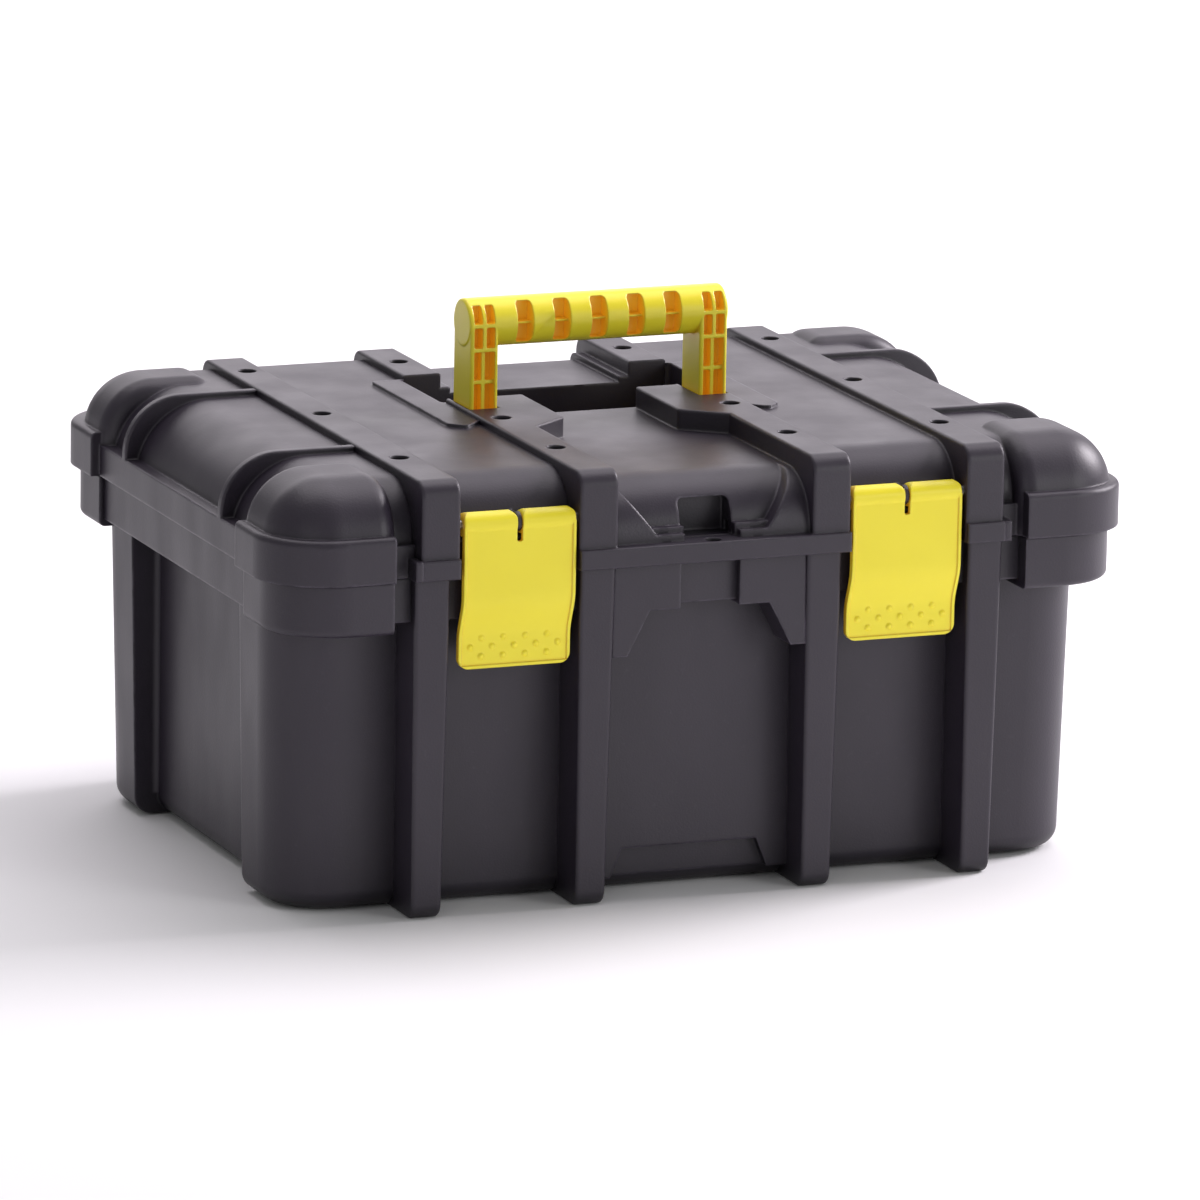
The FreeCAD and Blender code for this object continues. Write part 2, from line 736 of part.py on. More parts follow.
def niche():
    """Pocket above the padlock hole, open to the front."""
    floor = lid_low + band_height
    back_y = -half_depth + niche_back_step
    top = split_height + niche_height
    cut = block((-niche_half, -half_depth - 5, floor), (niche_half, back_y, top))
    cut = rounded(cut, niche_round, lambda e: e.BoundBox.YLength > 5 and e.BoundBox.ZMin > top - touch)
    low_corner = (-niche_half - wall, -half_depth + dome_step_face, floor - wall)
    lining = block(low_corner, (niche_half + wall, back_y + wall, top + wall))
    slit_low = (niche_half - 1, back_y - slit_back, floor)
    slit = block(slit_low, (niche_half + slit_reach, back_y - slit_back + slit_size, floor + slit_size))
    return cut, slit, lining


def lid_knuckles():
    middle = (bay_high_x + bay_low_x) / 2
    x_low = middle - knuckle_width / 2
    x_high = middle + knuckle_width / 2
    barrel = rod_x(x_low, x_high, hinge_y, hinge_z, knuckle_radius)
    top = hinge_z + knuckle_radius
    root_y = skirt_half_y - wall
    points = [(root_y, hinge_z - 1.0), (hinge_y, hinge_z), (hinge_y, top), (root_y, top + lid_arm_rise)]
    arm = plate_yz(points, x_low, x_high)
    bore = rod_x(x_low - 1, x_high + 1, hinge_y, hinge_z, hinge_pin_radius + running_gap)
    knuckle = barrel.fuse(arm).cut(bore)
    return [knuckle, mirror_x(knuckle)]


def latch_webs():
    """Tab in each latch's notch that steadies the middle of the latch's axle."""
    half = latch_notch / 2 - latch_web_gap
    webs = []
    for x in both_ways(latch_x):
        tab = rod_x(x - half, x + half, latch_pivot_y, latch_pivot_z, latch_curl_radius - 1.0)
        back = -half_depth + dome_step_face + wall
        root_half = latch_curl_radius - 2.0
        root_low = (x - half, latch_pivot_y, latch_pivot_z - root_half)
        root = block(root_low, (x + half, back, latch_pivot_z + root_half))
        webs.append(tab.fuse(root))
    return webs


def lid_shell():
    skirt = slab(skirt_half_x, skirt_half_y, lid_low, skirt_top, rim_corner)
    bumper_top = split_height + lid_bumper_height
    corner = bumper(0, 0, lid_low, bumper_top, bumper_top)
    solids = [lid_vault(0, lid_low), skirt]
    solids += four_corners(corner) + both_ends(corner_dome(corner_dome_step))
    solids += both_ends(mirror_y(corner_dome(corner_dome_back_step)))
    for x in (inner_rib_x, outer_rib_x):
        solids += [lid_rib(-x), lid_rib(x)]
    for y in both_ways(fin_y):
        solids += fin(y)
    limit = gusset_limit()
    solids += [web.common(limit) for web in gusset()]
    solids += rib_bands() + bosses() + handle_strips() + rear_rails()
    shell = fused(solids)
    inside = lid_vault(wall, lid_low - 1)
    inside_x = skirt_half_x - wall
    inside_y = skirt_half_y - wall
    inside = inside.fuse(slab(inside_x, inside_y, lid_low - 1, skirt_top - wall, rim_corner - wall))
    niche_cut, niche_slit, niche_lining = niche()
    for keep in under_recess() + [niche_lining]:
        inside = inside.cut(keep)
    shell = shell.cut(inside)
    cuts = [recess_cut(), niche_cut, niche_slit] + bail_slots()
    floor = lid_low + band_height
    cuts.append(rod_z(0, rib_face_y + padlock_hole_step, lid_low - 1, floor + 1, padlock_hole_radius))
    hole_low = crest_height - rib_hole_depth
    for rib_x, middle_y in ((outer_rib_x, 0), (inner_rib_x, inner_hole_y)):
        for y in (-rib_hole_pitch, middle_y, rib_hole_pitch):
            for x in both_ways(rib_x):
                cuts.append(rod_z(x, handle_y + y, hole_low, crest_height + 1, rib_hole_radius))
    for side in both_ways(1):
        cuts.append(handle_pin_body(side))
        cuts.append(latch_pin_body(side))
    for cut in cuts:
        shell = shell.cut(cut)
    webs = [web.cut(latch_pin_body(side)) for web, side in zip(latch_webs(), both_ways(1))]
    return fused([shell] + lid_knuckles() + webs)


def lid_pieces():
    """The lid by name, parted beside its ribs, in its recess and beside the niche."""
    pieces = along_x(lid_shell(), "lid", inner_rib_outer, outer_rib_x + rib_width / 2)
    centre = pieces.pop("lid_centre")
    niche_side = niche_half + slit_reach + wall
    front_y = handle_y + recess_front_y + recess_seam
    back_y = handle_y + recess_back_y - recess_seam
    face_y = rib_face_y - band_proud
    spans = {
        "lid_front_left": (-inner_rib_outer, face_y, -niche_side, front_y),
        "lid_front_middle": (-niche_side, face_y, niche_side, front_y),
        "lid_front_right": (niche_side, face_y, inner_rib_outer, front_y),
        "lid_recess": (-inner_rib_outer, front_y, inner_rib_outer, back_y),
        "lid_back": (-inner_rib_outer, back_y, inner_rib_outer, half_depth),
    }
    for name, (x_low, y_low, x_high, y_high) in spans.items():
        span = block((x_low, y_low, 0), (x_high, y_high, crest_height + 1))
        pieces[name] = centre.common(span)
    return pieces


# ================================================================ pins
def handle_pin_body(side):
    """Pin through the boss, the bail's leg and the rib's outer side."""
    reach = bail_leg_width / 2 + handle_pin_reach
    pin = rod_x(leg_x - reach, leg_x + reach, handle_y, pivot_z, handle_pin_radius)
    return pin if side > 0 else mirror_x(pin)


def latch_pin_body(side):
    x_low = bay_low_x - latch_pin_reach
    pin = rod_x(x_low, bay_high_x + latch_pin_reach, latch_pivot_y, latch_pivot_z, latch_pin_radius)
    return pin if side > 0 else mirror_x(pin)


def hinge_pin_body(side):
    x_low = bay_low_x + knuckle_end_gap
    pin = rod_x(x_low, bay_high_x - knuckle_end_gap, hinge_y, hinge_z, hinge_pin_radius)
    return pin if side > 0 else mirror_x(pin)


# ================================================================ bail handle
def bail():
    """U-shaped handle: cored legs, and a round grip with finger pockets on its front.

    It is drawn about its pivot line and then moved back to handle_y.
    """
    grip_z = pivot_z + bail_reach
    leg_half = bail_leg_width / 2
    outer_x = leg_x + leg_half
    grip = rod_x(-outer_x - grip_overhang, outer_x + grip_overhang, 0, grip_z, grip_radius)
    grip = rounded(grip, bail_edge, lambda e: e.BoundBox.XLength < touch)
    solids = [grip]
    cuts = []
    face_y = -bail_leg_depth / 2
    for x in both_ways(leg_x):
        foot = rod_x(x - leg_half, x + leg_half, 0, pivot_z, bail_leg_depth / 2)
        shank = block((x - leg_half, face_y, pivot_z), (x + leg_half, -face_y, grip_z))
        shank = rounded(shank, bail_edge, upright)
        solids += [foot, shank]
        cuts.append(rod_x(x - leg_half - 1, x + leg_half + 1, 0, pivot_z, handle_pin_radius + running_gap))
        cuts += leg_cores(x, face_y, grip_z)
    cuts += finger_pockets(grip_z)
    body = fused(solids).cut(Part.makeCompound(cuts))
    body.translate(V(0, handle_y, 0))
    return body


def leg_cores(x, face_y, grip_z):
    """Moulding cores in a leg's front: two columns of cells between a middle web and cross webs."""
    cell = (bail_leg_width - 3 * core_wall) / 2
    low = pivot_z + handle_pin_radius + core_foot
    high = grip_z - grip_radius + 1.0
    rows = int((high - low) / leg_web_pitch)
    pitch = (high - low) / rows
    spans = [(low + row * pitch, low + (row + 1) * pitch - core_wall) for row in range(rows)]
    spans.append((high, grip_z - core_wall / 2))
    spans.append((grip_z + core_wall / 2, grip_z + grip_radius - core_roof))
    cores = []
    for column in both_ways(1):
        middle = x + column * (cell + core_wall) / 2
        for z_low, z_high in spans:
            low_corner = (middle - cell / 2, face_y - core_wall, z_low)
            core = block(low_corner, (middle + cell / 2, face_y + core_depth, z_high))
            cores.append(rounded(core, core_round, lambda e: e.BoundBox.YLength > core_depth))
    half = cell + core_wall / 2
    mouth_top = high - core_wall
    mouth = block((x - half, face_y - core_wall, low), (x + half, face_y + core_web_inset, mouth_top))
    return cores + [rounded(mouth, core_round, lambda e: e.BoundBox.YLength > core_web_inset)]


def finger_pockets(grip_z):
    """Deep pockets across the front of the grip, each with a thin web low in its middle."""
    pockets = []
    web_y = -grip_radius + pocket_web_inset
    for number in range(pocket_count):
        x = (number - (pocket_count - 1) / 2) * pocket_pitch
        left = x - pocket_width / 2
        right = x + pocket_width / 2
        low = (left, -grip_radius - 1, grip_z - pocket_low)
        pocket = block(low, (right, pocket_depth - grip_radius, grip_z + pocket_top))
        pocket = rounded(pocket, pocket_round, lambda e: e.BoundBox.YLength > 1)
        web = block((left, web_y, grip_z - pocket_web / 2), (right, 0, grip_z + pocket_web / 2))
        pockets.append(pocket.cut(web))
    return pockets


# ================================================================ latches
def latch(side):
    """Rolled top on the axle, a flat plate, a double bend under the rim and a studded thumb tab."""
    x_low = latch_x - latch_width / 2
    x_high = latch_x + latch_width / 2
    face_y = latch_pivot_y - latch_curl_radius + latch_bead
    tab_y = -rim_half_y - latch_catch_gap - latch_plate
    curl = rod_x(x_low, x_high, latch_pivot_y, latch_pivot_z, latch_curl_radius)
    curl = rounded(curl, small_edge, lambda e: e.BoundBox.XLength < touch)
    plate = latch_sheet(face_y, tab_y, 0, latch_plate, (x_low, x_high), latch_bottom)
    proud = latch_sheet(face_y, tab_y, -latch_bead, touch, (x_low, x_high), latch_bottom)
    field = (x_low + latch_bead_width, x_high - latch_bead_width)
    hollow = latch_sheet(face_y, tab_y, -2 * latch_bead, 0, field, latch_bottom + latch_bead_width)
    body = fused([curl, plate, proud.cut(hollow)] + latch_studs(tab_y))
    x_out = x_low - 1
    bore = rod_x(x_out, x_high + 1, latch_pivot_y, latch_pivot_z, latch_pin_radius + running_gap)
    body = body.cut(bore).common(latch_outline(x_low, x_high))
    return body if side > 0 else mirror_x(body)


def latch_sheet(face_y, tab_y, front, back, x_limits, foot_z):
    """Bent sheet from the axle down to foot_z, between two depths measured from the plate's face."""
    bend_top = rim_low + latch_bend_top
    bend_low = rim_low - latch_bend_low
    line = [(face_y, latch_pivot_z), (face_y, bend_top), (tab_y, bend_low), (tab_y, foot_z)]
    points = [(y + front, z) for y, z in line] + [(y + back, z) for y, z in reversed(line)]
    bend = latch_bend_round
    return plate_yz(points, x_limits[0], x_limits[1], [0, bend, bend, 0, 0, bend, bend, 0])


def latch_outline(x_low, x_high):
    """Front outline with rounded corners and the notch for the lid's tab."""
    top = latch_pivot_z + latch_curl_radius
    left = latch_x - latch_notch / 2
    right = latch_x + latch_notch / 2
    points = [(x_low, latch_bottom), (x_high, latch_bottom), (x_high, top), (right, top)]
    points += [(right, latch_notch_low), (left, latch_notch_low), (left, top), (x_low, top)]
    foot = latch_corner
    head = latch_top_corner
    back_y = latch_pivot_y + latch_curl_radius + 1
    return plate_xz(points, -half_depth - 5, back_y, [foot, foot, head, head, 1.0, 1.0, head, head])


def latch_studs(tab_y):
    studs = []
    for row, count in enumerate(stud_counts):
        z = latch_bottom + stud_first + row * stud_row
        for number in range(count):
            x = latch_x + (number - (count - 1) / 2) * stud_pitch
            studs.append(Part.makeSphere(stud_radius, V(x, tab_y + stud_radius - stud_height, z)))
    return studs


# ================================================================ tray
def tray_planes():
    """Half sizes of the tray below its flange, and the height of its top."""
    half_x = tub_half_x - end_panel_sink - wall - tub_draft - tray_side_gap
    half_y = tub_half_y - wall - tray_side_gap - tub_draft / 2
    return half_x, half_y, ledge_z + tray_ledge_gap + tray_flange_height


def tray_body():
    """Open tray hung by its flange on the ledge inside the base, with three long bays."""
    half_x, half_y, top = tray_planes()
    low = top - tray_depth
    body = rounded(slab(half_x, half_y, low, top, tray_corner), tray_foot_round, at_z(low))
    flange_x = half_x + tray_flange
    flange_y = half_y + tray_flange_side
    flange = slab(flange_x, flange_y, top - tray_flange_height, top, tray_corner + tray_flange)
    body = body.fuse(flange)
    inner_x = half_x - tray_wall
    inner = slab(inner_x, half_y - tray_wall, low, top + 2, tray_corner - tray_wall)
    for y_low, y_high in tray_bays(half_y):
        cell = block((-inner_x, y_low, low + tray_wall), (inner_x, y_high, top + 1)).common(inner)
        body = body.cut(rounded(cell, tray_cell_round, at_z(low + tray_wall)))
    return fused([body] + divider_guides())


def tray_bays(half_y):
    """Front, middle and back bays, as pairs of Y limits."""
    near = tray_rail_y - tray_wall / 2
    far = tray_rail_y + tray_wall / 2
    outer = half_y - tray_wall
    return [(-outer, -far), (-near, near), (far, outer)]


def divider_places():
    """Name, X and Y limits of each lift-out divider."""
    front, middle, back = tray_bays(tray_planes()[1])
    return [
        ("tray_divider_front_left", -divider_x, front),
        ("tray_divider_front_right", divider_x, front),
        ("tray_divider_back_middle", 0.0, back),
    ]


def divider_guides():
    """Pairs of small ribs on the bay walls that hold each divider."""
    top = tray_planes()[2]
    low = top - tray_depth + tray_wall - 0.5
    high = top - guide_drop
    reach = divider_wall / 2 + divider_slot_gap
    guides = []
    for name, x, (y_low, y_high) in divider_places():
        for side in both_ways(1):
            x_low, x_high = sorted((x + side * reach, x + side * (reach + guide_width)))
            guides.append(block((x_low, y_low - 0.5, low), (x_high, y_low + divider_slot_depth, high)))
            guides.append(block((x_low, y_high - divider_slot_depth, low), (x_high, y_high + 0.5, high)))
    return guides


def divider(x, limits):
    top = tray_planes()[2]
    low = top - tray_depth + tray_wall
    high = top - guide_drop + 1.0
    y_low = limits[0] + divider_slot_gap
    y_high = limits[1] - divider_slot_gap
    points = [(y_low, low), (y_high, low), (y_high, high), (y_low, high)]
    return plate_yz(points, x - divider_wall / 2, x + divider_wall / 2, [2.5, 2.5, 4.0, 4.0])


def tray_handle():
    """Carrying grip that stands in the tray's middle bay, between its two long walls."""
    top = tray_planes()[2]
    foot_z = top - tray_depth + tray_wall
    bar_top = top + grip_height
    bay_half = tray_rail_y - tray_wall / 2
    solids = []
    for x in both_ways(grip_half):
        x_low = x - grip_post / 2
        x_high = x + grip_post / 2
        foot = block((x_low, -bay_half, foot_z), (x_high, bay_half, top - 2.0))
        foot_edge = tray_cell_round + grip_foot_gap
        foot = rounded(foot, foot_edge, lambda e: at_z(foot_z)(e) and e.BoundBox.XLength > 1)
        points = [(-bay_half + 2, top - 3.0), (bay_half - 2, top - 3.0)]
        points += [(grip_bar, bar_top), (-grip_bar, bar_top)]
        solids += [foot, plate_yz(points, x_low, x_high, [0, 0, grip_edge, grip_edge])]
    bar = block((-grip_half, -grip_bar, bar_top - grip_bar), (grip_half, grip_bar, bar_top))
    solids.append(rounded(bar, grip_edge, lambda e: e.BoundBox.XLength > grip_half))
    return fused(solids)


# ================================================================ write the pieces
def main():
    os.makedirs("parts", exist_ok=True)
    for name, piece in {**base_pieces(), **lid_pieces()}.items():
        save(piece, name)
    save(bail(), "handle_bail")
    for side, word in ((-1, "left"), (1, "right")):
        save(hinge_pin_body(side), "hinge_pin_" + word)
        save(handle_pin_body(side), "handle_pin_" + word)
        save(latch_pin_body(side), "latch_pin_" + word)
        save(latch(side), "latch_" + word)
    save(tray_body(), "tray_body")
    save(tray_handle(), "tray_handle")
    for name, x, limits in divider_places():
        save(divider(x, limits), name)


main()
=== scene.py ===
import json
import math

import bpy
from mathutils import Matrix, Vector


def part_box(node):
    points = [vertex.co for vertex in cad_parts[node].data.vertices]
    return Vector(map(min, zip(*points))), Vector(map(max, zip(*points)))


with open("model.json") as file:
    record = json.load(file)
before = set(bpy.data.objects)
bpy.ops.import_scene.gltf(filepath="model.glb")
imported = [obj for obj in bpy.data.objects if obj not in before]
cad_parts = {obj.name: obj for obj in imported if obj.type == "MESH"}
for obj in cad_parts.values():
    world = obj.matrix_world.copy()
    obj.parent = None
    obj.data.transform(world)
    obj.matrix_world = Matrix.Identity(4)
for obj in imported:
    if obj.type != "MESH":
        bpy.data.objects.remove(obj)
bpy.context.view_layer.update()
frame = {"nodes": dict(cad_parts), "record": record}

nodes = frame["nodes"]

# ---------------------------------------------------------------- camera

CAMERA_AZIMUTH = -21.89
CAMERA_HEIGHT_ANGLE = 12.83
CAMERA_ROLL = 0.98
CAMERA_PLACE = (-1.78496, -4.46227, 1.20314)
CAMERA_LENS = 309.13


def set_camera():
    """The long lens that looks at the box from its front left corner."""
    azimuth = math.radians(CAMERA_AZIMUTH)
    height = math.radians(CAMERA_HEIGHT_ANGLE)
    roll = math.radians(CAMERA_ROLL)
    back = Vector((
        math.sin(azimuth) * math.cos(height),
        -math.cos(azimuth) * math.cos(height),
        math.sin(height),
    ))
    right = (-back).cross(Vector((0, 0, 1))).normalized()
    up = right.cross(-back)
    across = right * math.cos(roll) + up * math.sin(roll)
    upward = up * math.cos(roll) - right * math.sin(roll)
    lens = bpy.data.cameras.new("camera")
    lens.lens = CAMERA_LENS
    lens.sensor_width = 36
    lens.clip_start = 0.1
    lens.clip_end = 60
    camera = bpy.data.objects.new("camera", lens)
    turned = Matrix((across, upward, back)).transposed().to_4x4()
    camera.matrix_world = Matrix.Translation(CAMERA_PLACE) @ turned
    bpy.context.scene.collection.objects.link(camera)
    bpy.context.scene.camera = camera


# ---------------------------------------------------------------- shader arithmetic

SAMPLES = 6               # rays of each bevel and crevice node

class Wire:
    """A shader socket that takes part in sums, differences and products."""

    def __init__(self, finish, socket):
        self.finish = finish
        self.socket = socket

    def maths(self, operation, first, second):
        return self.finish.node(
            "ShaderNodeMath", {"operation": operation}, {0: first, 1: second}
        )

    def __add__(self, other):
        return self.maths("ADD", self, other)

    def __sub__(self, other):
        return self.maths("SUBTRACT", self, other)

    def __rsub__(self, other):
        return self.maths("SUBTRACT", other, self)

    def __mul__(self, other):
        return self.maths("MULTIPLY", self, other)

    def __abs__(self):
        return self.finish.node("ShaderNodeMath", {"operation": "ABSOLUTE"}, {0: self})


class Finish:
    """One material, with its nodes made one call at a time."""

    def __init__(self, name):
        self.material = bpy.data.materials.new(name)
        self.material.use_nodes = True
        self.tree = self.material.node_tree
        self.tree.nodes.clear()
        self.place = self.node("ShaderNodeTexCoord", output="Object")

    def node(self, kind, settings=None, inputs=None, output=0):
        """A node with its settings made first, then its values and links."""
        made = self.tree.nodes.new(kind)
        for name, value in (settings or {}).items():
            if name == "stops":
                ramp = made.color_ramp.elements
                while len(ramp) < len(value):
                    ramp.new(0.5)
                for stop, (position, shade) in zip(ramp, value):
                    stop.position = position
                    stop.color = shade
            else:
                setattr(made, name, value)
        for name, value in (inputs or {}).items():
            if isinstance(value, Wire):
                self.tree.links.new(value.socket, made.inputs[name])
            else:
                made.inputs[name].default_value = value
        return Wire(self, made.outputs[output])

    def noise(self, scale, detail=2.0, roughness=0.5, stretch=None):
        """Cloudy variation, drawn out along an axis where stretch is small."""
        where = self.place
        if stretch:
            where = self.node("ShaderNodeMapping", None, {"Vector": where, "Scale": stretch})
        return self.node(
            "ShaderNodeTexNoise", None,
            {"Vector": where, "Scale": scale, "Detail": detail, "Roughness": roughness},
        )

    def cells(self, scale):
        """Distance from the middles of small cells."""
        return self.node(
            "ShaderNodeTexVoronoi", {"feature": "F1"},
            {"Vector": self.place, "Scale": scale}, "Distance",
        )

    def band(self, value, low, high, to_low=0.0, to_high=1.0):
        """The value's run from low to high, spread over to_low to to_high and held there."""
        return self.node(
            "ShaderNodeMapRange", {"clamp": True},
            {"Value": value, "From Min": low, "From Max": high,
             "To Min": to_low, "To Max": to_high},
        )

    def mix(self, factor, first, second):
        """Two colours mixed by a factor."""
        made = self.tree.nodes.new("ShaderNodeMix")
        made.data_type = "RGBA"
        made.blend_type = "MIX"
        made.clamp_factor = True
        sockets = {
            "Factor_Float": factor, "A_Color": first, "B_Color": second,
        }
        for socket in made.inputs:
            value = sockets.get(socket.identifier)
            if isinstance(value, Wire):
                self.tree.links.new(value.socket, socket)
            elif value is not None:
                socket.default_value = value
        result = next(s for s in made.outputs if s.identifier == "Result_Color")
        return Wire(self, result)

    def edges(self, radius, seams=()):
        """How sharply the surface turns nearby, and the normal rounded over its edges.

        Beside the planes in seams a moulding is only parted into nodes, so nothing is rounded there.
        """
        rounded = self.node("ShaderNodeBevel", {"samples": SAMPLES}, {"Radius": radius})
        plain = self.node("ShaderNodeNewGeometry", output="Normal")
        facing = self.node(
            "ShaderNodeVectorMath", {"operation": "DOT_PRODUCT"},
            {0: rounded, 1: plain}, "Value",
        )
        turn = 1.0 - facing
        if not seams:
            return turn, rounded
        clear = 1.0
        for axis, place in seams:
            along = self.node("ShaderNodeSeparateXYZ", None, {"Vector": self.place}, axis)
            away = abs(along - place)
            clear = self.band(away, radius * 1.2, radius * 1.6) * clear
        bend = self.node(
            "ShaderNodeVectorMath", {"operation": "SUBTRACT"}, {0: rounded, 1: plain}, "Vector",
        )
        bend = self.node(
            "ShaderNodeVectorMath", {"operation": "SCALE"}, {0: bend, "Scale": clear}, "Vector",
        )
        kept = self.node("ShaderNodeVectorMath", {"operation": "ADD"}, {0: plain, 1: bend}, "Vector")
        return turn * clear, kept

    def crevice(self, distance):
        """1 in the open, falling to 0 in corners and pockets."""
        return self.node(
            "ShaderNodeAmbientOcclusion", {"samples": SAMPLES},
            {"Distance": distance}, "AO",
        )

    def finish(self, **values):
        """The surface itself. Names are the Principled shader's, with _ for a space."""
        inputs = {name.replace("_", " "): value for name, value in values.items()}
        surface = self.node("ShaderNodeBsdfPrincipled", None, inputs)
        end = self.tree.nodes.new("ShaderNodeOutputMaterial")
        self.tree.links.new(surface.socket, end.inputs["Surface"])
        return self.material


def colour(red, green, blue):
    """A shade given as 0 to 255 on a screen, as the shader's linear colour."""
    def linear(level):
        level = level / 255
        return level / 12.92 if level <= 0.04045 else ((level + 0.055) / 1.055) ** 2.4
    return (linear(red), linear(green), linear(blue), 1.0)


# ---------------------------------------------------------------- finishes

CHARCOAL_EDGE = 0.0018    # metres over which each plastic's edges look rounded
YELLOW_EDGE = 0.0009
TRAY_EDGE = 0.001
PIN_EDGE = 0.0005
CHARCOAL_CREVICE = 0.022  # metres of reach of the painted shade in corners and pockets
YELLOW_CREVICE = 0.012

def charcoal_plastic(name, seams=()):
    """Moulded polypropylene: fine spark grain, slow cloudiness, pale edges that are partly wear and
    partly painted highlight.
    """
    made = Finish(name)
    cloud = made.noise(9.0, 3.0)
    flow = made.noise(38.0, 2.0, stretch=(1.0, 1.0, 0.35))
    grain = made.noise(1500.0, 1.0)
    pits = made.cells(900.0)
    turn, rounded = made.edges(CHARCOAL_EDGE, seams)
    open_air = made.crevice(CHARCOAL_CREVICE)
    edge_wear_and_highlight = made.band(turn, 0.02, 0.22) * made.band(made.noise(120.0, 4.0), 0.30, 0.60)
    dust = made.band(made.noise(260.0, 6.0, 0.7), 0.6, 0.8)
    tone = made.mix(cloud, colour(37, 31, 42), colour(44, 37, 50))
    tone = made.mix(flow * 0.35, tone, colour(32, 27, 37))
    tone = made.mix(dust * 0.10, tone, colour(100, 93, 108))
    # Paler along edges: partly worn plastic, partly a painted highlight where the edges would catch
    # the light.
    tone = made.mix(edge_wear_and_highlight * 0.42, tone, colour(122, 114, 130))
    # Painted shade: darker in corners and pockets, where the occlusion node finds little open air.
    tone = made.mix(made.band(open_air, 0.72, 0.25) * 0.75, tone, colour(12, 10, 14))
    height = grain * 0.5 + pits * 0.7
    bump = made.node(
        "ShaderNodeBump", None,
        {"Strength": 0.16, "Distance": 0.0003, "Height": height, "Normal": rounded},
    )
    rough = made.band(flow, 0.3, 0.7, 0.40, 0.48) + dust * 0.06 - edge_wear_and_highlight * 0.06
    return made.finish(
        Base_Color=tone, Roughness=rough, Normal=bump, Specular_IOR_Level=0.55,
    )


def yellow_plastic():
    """Glossier moulded plastic, with painted warm shade and a faint painted glow in its pockets,
    standing in for light that comes through thin walls.
    """
    made = Finish("signal_yellow_plastic")
    cloud = made.noise(30.0, 3.0)
    grain = made.noise(900.0, 2.0)
    turn, rounded = made.edges(YELLOW_EDGE)
    edge_wear_and_highlight = made.band(turn, 0.02, 0.3) * made.band(made.noise(150.0, 4.0), 0.4, 0.65)
    open_air = made.crevice(YELLOW_CREVICE)
    tone = made.mix(cloud, colour(240, 224, 44), colour(246, 232, 56))
    shade = made.band(open_air, 0.80, 0.25)
    # Painted shade: an orange tint in the pockets and corners that the occlusion node finds.
    tone = made.mix(shade * 0.85, tone, colour(255, 200, 52))
    # Paler along edges: partly worn plastic, partly a painted highlight.
    tone = made.mix(edge_wear_and_highlight * 0.4, tone, colour(250, 244, 130))
    bump = made.node(
        "ShaderNodeBump", None,
        {"Strength": 0.10, "Distance": 0.0002, "Height": grain, "Normal": rounded},
    )
    rough = made.band(cloud, 0.3, 0.7, 0.30, 0.38)
    # Painted glow: the shaded pockets give off a faint orange light, though the plastic is no lamp.
    return made.finish(
        Base_Color=tone, Roughness=rough, Normal=bump,
        Emission_Color=made.mix(shade, colour(0, 0, 0), colour(255, 180, 34)),
        Emission_Strength=0.05,
    )


def pin_steel():
    """Drawn steel rod with fine lines round it."""
    made = Finish("drawn_steel")
    lines = made.noise(700.0, 3.0, stretch=(0.05, 1.0, 1.0))
    turn, rounded = made.edges(PIN_EDGE)
    tone = made.mix(lines, colour(150, 150, 152), colour(196, 195, 194))
    # Painted highlight: paler along every edge of the pin.
    tone = made.mix(made.band(turn, 0.02, 0.3), tone, colour(220, 220, 220))
    bump = made.node(
        "ShaderNodeBump", None,
        {"Strength": 0.12, "Distance": 0.0001, "Height": lines, "Normal": rounded},
    )
    return made.finish(
        Base_Color=tone, Metallic=1.0, Roughness=made.band(lines, 0.3, 0.7, 0.25, 0.42),
        Normal=bump,
    )


def tray_plastic():
    """The tray's paler grey plastic, with scuffs where tools lie."""
    made = Finish("grey_tray_plastic")
    cloud = made.noise(12.0, 3.0)
    grain = made.noise(1300.0, 1.0)
    scuff = made.band(made.noise(70.0, 6.0, 0.65, stretch=(0.25, 1.0, 1.0)), 0.58, 0.72)
    turn, rounded = made.edges(TRAY_EDGE)
    edge_wear_and_highlight = made.band(turn, 0.02, 0.3) * made.band(made.noise(130.0, 4.0), 0.35, 0.65)
    tone = made.mix(cloud, colour(112, 112, 118), colour(124, 123, 130))
    tone = made.mix(scuff * 0.18, tone, colour(160, 160, 166))
    # Paler along edges: partly worn plastic, partly a painted highlight.
    tone = made.mix(edge_wear_and_highlight * 0.4, tone, colour(170, 170, 176))
    bump = made.node(
        "ShaderNodeBump", None,
        {"Strength": 0.14, "Distance": 0.0003, "Height": grain, "Normal": rounded},
    )
    return made.finish(
        Base_Color=tone, Roughness=made.band(cloud, 0.3, 0.7, 0.46, 0.56), Normal=bump,
    )


def studio_floor():
    """The pale floor under the box."""
    made = Finish("pale_floor")
    cloud = made.noise(1.5, 2.0)
    tone = made.mix(cloud, colour(244, 244, 245), colour(247, 247, 248))
    return made.finish(Base_Color=tone, Roughness=0.9)


FINISHES = {
    "dark_plastic": charcoal_plastic("charcoal_plastic"),
    "yellow_plastic": yellow_plastic(),
    "steel": pin_steel(),
    "tray_plastic": tray_plastic(),
}


def paint(piece, finish):
    """Give a piece one finish all over."""
    piece.data.materials.clear()
    piece.data.materials.append(finish)


for part in frame["record"]["subparts"]:
    paint(nodes[part["node"]], FINISHES[part["material_slot"]])


def both_sides(place):
    """The two planes across the box's length at a distance from its middle."""
    return [("X", -place), ("X", place)]


def paint_parted(name, pieces, seams):
    """One moulding in several nodes, with no edge shown where they meet."""
    finish = charcoal_plastic(name, seams)
    for piece in pieces:
        paint(nodes[piece], finish)


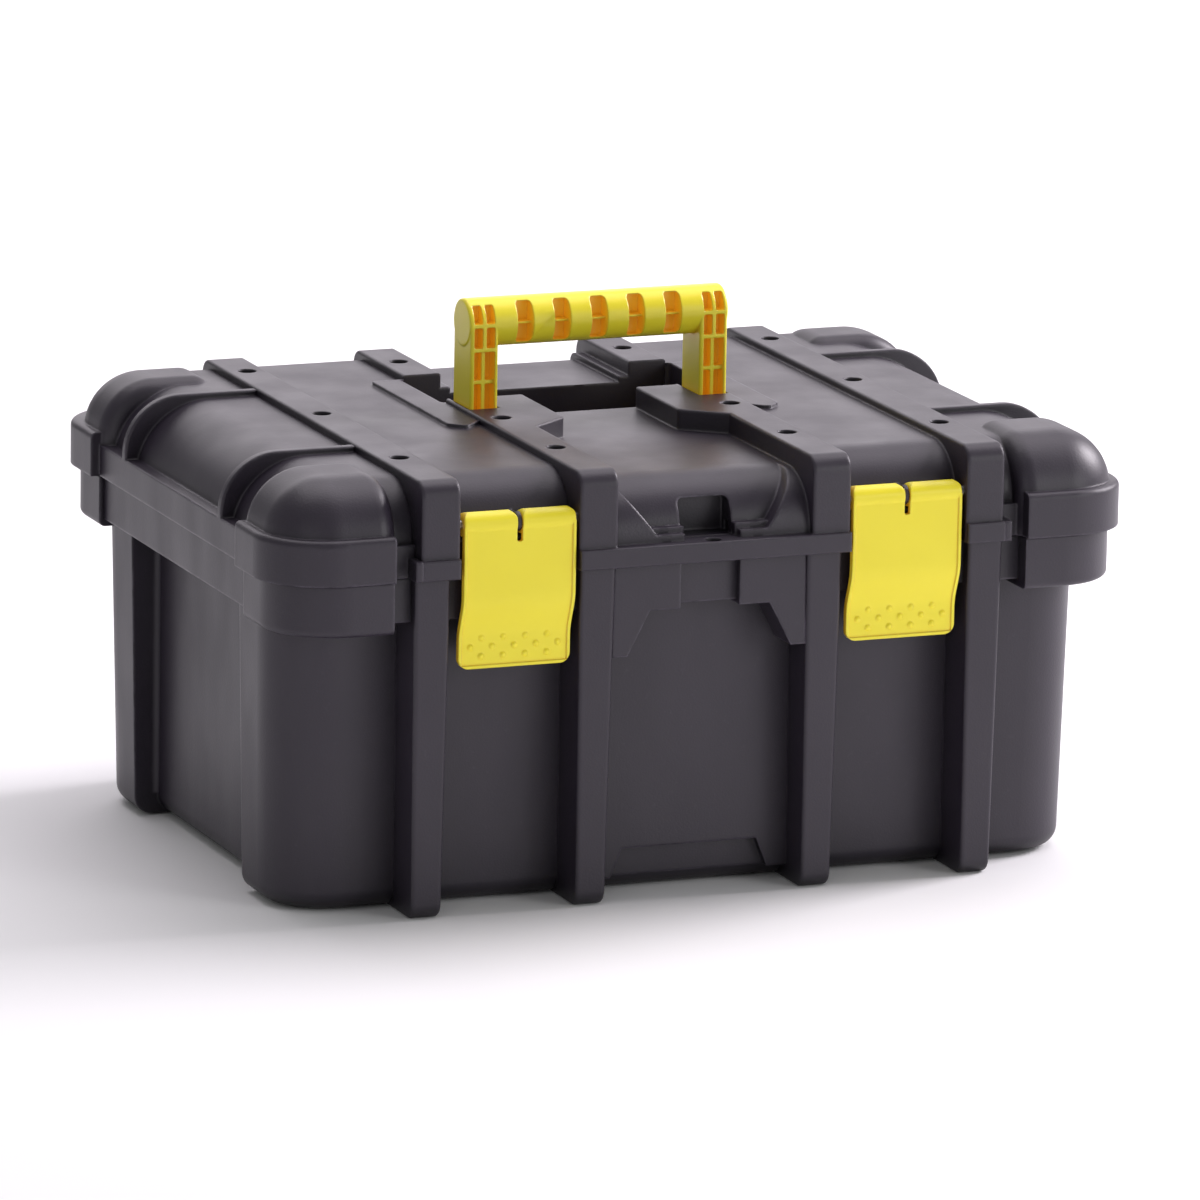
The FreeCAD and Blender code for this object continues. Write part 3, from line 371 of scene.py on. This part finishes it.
recess_low, recess_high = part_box("lid_recess")
niche_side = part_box("lid_front_middle")[1][0]
paint_parted(
    "charcoal_plastic_lid",
    ["lid_front_left", "lid_front_middle", "lid_front_right", "lid_recess", "lid_back"],
    both_sides(niche_side) + [("Y", recess_low[1]), ("Y", recess_high[1])],
)
paint_parted(
    "charcoal_plastic_base",
    ["base_end_left", "base_bay_left", "base_centre", "base_bay_right", "base_end_right"],
    both_sides(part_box("base_centre")[1][0]) + both_sides(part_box("base_end_right")[0][0]),
)

# ---------------------------------------------------------------- studio

def add_floor():
    """A wide plain floor at the height of the feet."""
    bpy.ops.object.select_all(action="DESELECT")
    bpy.ops.mesh.primitive_plane_add(size=60)
    floor = bpy.context.active_object
    floor.name = "floor"
    paint(floor, studio_floor())


def add_light(name, place, aim, size, power, tint=(1, 1, 1)):
    """A soft rectangular lamp that looks from its place to its aim."""
    lamp = bpy.data.lights.new(name, "AREA")
    lamp.shape = "RECTANGLE"
    lamp.size, lamp.size_y = size
    lamp.energy = power
    lamp.color = tint
    holder = bpy.data.objects.new(name, lamp)
    holder.location = place
    way = Vector(aim) - Vector(place)
    holder.rotation_euler = way.to_track_quat("-Z", "Y").to_euler()
    bpy.context.scene.collection.objects.link(holder)


def set_studio():
    """Soft light from above, behind and the right, with a weak fill from the left."""
    add_floor()
    lilac = (1.0, 0.94, 1.0)
    add_light("overhead", (0.2, 0.5, 2.2), (0, 0, 0.1), (2.4, 1.8), 30, lilac)
    add_light("behind", (0.8, 3.0, 1.5), (0, 0, 0.15), (3.6, 2.0), 38, lilac)
    add_light("right", (2.5, 0.2, 1.5), (0, 0, 0.12), (1.2, 1.2), 90, lilac)
    add_light("right_front", (2.0, -2.6, 0.9), (0, 0, 0.10), (1.3, 1.3), 24)
    add_light("left_front", (-2.2, -2.6, 1.0), (0, 0, 0.12), (1.4, 1.4), 4)
    world = bpy.data.worlds.new("studio")
    world.use_nodes = True
    background = world.node_tree.nodes["Background"]
    background.inputs["Color"].default_value = (1, 1, 1, 1)
    background.inputs["Strength"].default_value = 0.3
    bpy.context.scene.world = world
    bpy.context.scene.view_settings.view_transform = "Standard"


set_camera()
set_studio()
